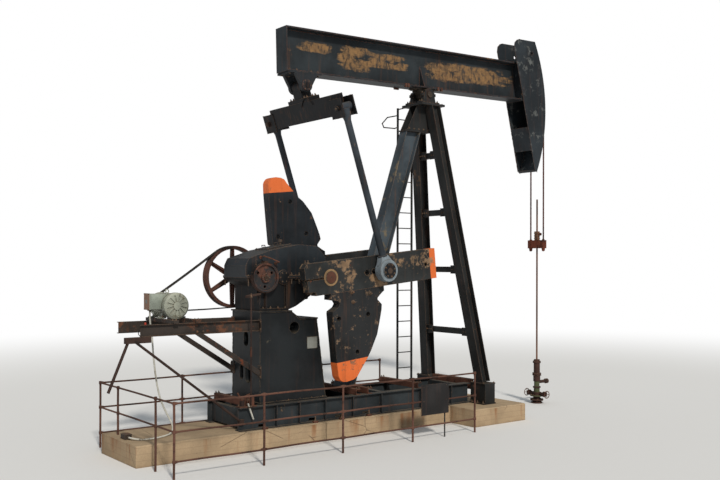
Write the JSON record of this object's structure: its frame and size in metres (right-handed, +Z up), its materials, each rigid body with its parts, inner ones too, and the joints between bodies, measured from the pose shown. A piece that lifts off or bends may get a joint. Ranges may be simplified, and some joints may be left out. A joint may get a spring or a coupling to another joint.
{
  "type": "beam pumping unit",
  "caption": "Crank-balanced walking-beam pumping unit on a skid and concrete blocks, with post, gearbox, motor, belts, horsehead, bridle and wellhead.",
  "frame": {"origin": "on the floor under the saddle bearing, in the middle plane of the beam, at the underside of the concrete blocks", "axes": "+X towards the well, +Y towards the belt side of the gearbox, +Z up"},
  "size_m": [10.085, 2.9003, 7.6519],
  "materials": {
    "black_paint": "worn black paint with rust patches",
    "rusty_steel": "rust brown",
    "bare_steel": "dull steel",
    "concrete": "weathered concrete",
    "motor_paint": "faded grey-green paint",
    "belt_rubber": "black rubber",
    "conduit": "grey plastic sheath"
  },
  "bodies": {
    "frame": {"foundation_blocks": "concrete", "skid": "black_paint", "cross_channels": "rusty_steel", "pedestal": "black_paint", "gearbox_case": "black_paint", "gearbox_cover": "black_paint", "post_feet": "black_paint", "post_front_legs": "black_paint", "post_rear_leg": "black_paint", "post_head": "black_paint", "saddle_bearing_blocks": "black_paint", "ladder": "black_paint", "motor_arms": "black_paint", "motor_arm_braces": "black_paint", "motor_props": "rusty_steel", "motor_slide_rails": "rusty_steel", "motor_body": "motor_paint", "motor_fan_cover": "motor_paint", "motor_terminal_box": "motor_paint", "motor_conduit": "conduit", "junction_box": "black_paint", "drive_belts": "belt_rubber", "brake_lever": "rusty_steel", "wellhead": "rusty_steel", "fence_front": "rusty_steel", "fence_back": "rusty_steel", "fence_end": "rusty_steel", "sign_board": "black_paint"},
    "crank": {"slow_shaft": "bare_steel", "crank_near": "black_paint", "crank_far": "black_paint", "counterweight_near": "black_paint", "counterweight_far": "black_paint"},
    "beam": {"walking_beam": "black_paint", "saddle_shaft": "bare_steel", "tail_bearing_hangers": "black_paint", "horsehead": "black_paint", "bridle_wrap": "rusty_steel"},
    "hanger": {"tail_bearing": "black_paint", "equalizer_beam": "black_paint", "pitmans": "black_paint", "wrist_bearings": "bare_steel"},
    "rod": {"carrier_bar": "rusty_steel", "bridle_cables": "rusty_steel", "polished_rod": "rusty_steel"},
    "drive_shaft": {"input_shaft": "bare_steel", "large_sheave": "rusty_steel", "brake_drum": "rusty_steel"},
    "motor_rotor": {"motor_sheave": "rusty_steel"}
  },
  "joints": [
    {"name": "crank_turn", "type": "hinge", "parent": "frame", "child": "crank", "pos_m": [-2.819, 0, 2.756], "axis": [0, -1, 0], "continuous": true},
    {"name": "beam_rock", "type": "hinge", "parent": "frame", "child": "beam", "pos_m": [0, 0, 6.21], "axis": [0, -1, 0], "range_deg": [-23.2, 21.5]},
    {"name": "hanger_swing", "type": "hinge", "parent": "beam", "child": "hanger", "pos_m": [-2.81782, 0, 6.04858], "axis": [0, -1, 0], "range_deg": [-21.5, 23.2]},
    {"name": "rod_lift", "type": "slide", "parent": "frame", "child": "rod", "axis": [0, 0, 1], "range_m": [-1.3274, 1.2302]},
    {"name": "drive_shaft_turn", "type": "hinge", "parent": "frame", "child": "drive_shaft", "pos_m": [-3.8, 0, 2.756], "axis": [0, -1, 0], "continuous": true},
    {"name": "motor_turn", "type": "hinge", "parent": "frame", "child": "motor_rotor", "pos_m": [-5.19, 0, 2.32], "axis": [0, -1, 0], "continuous": true}
  ],
  "couplings": [
    {"joint": "hanger_swing", "follows": "beam_rock", "ratio": -1},
    {"joint": "rod_lift", "follows": "beam_rock", "m_per_rad": 3.277},
    {"joint": "drive_shaft_turn", "follows": "crank_turn", "ratio": 28.6},
    {"joint": "motor_turn", "follows": "crank_turn", "ratio": 126.32}
  ]
}
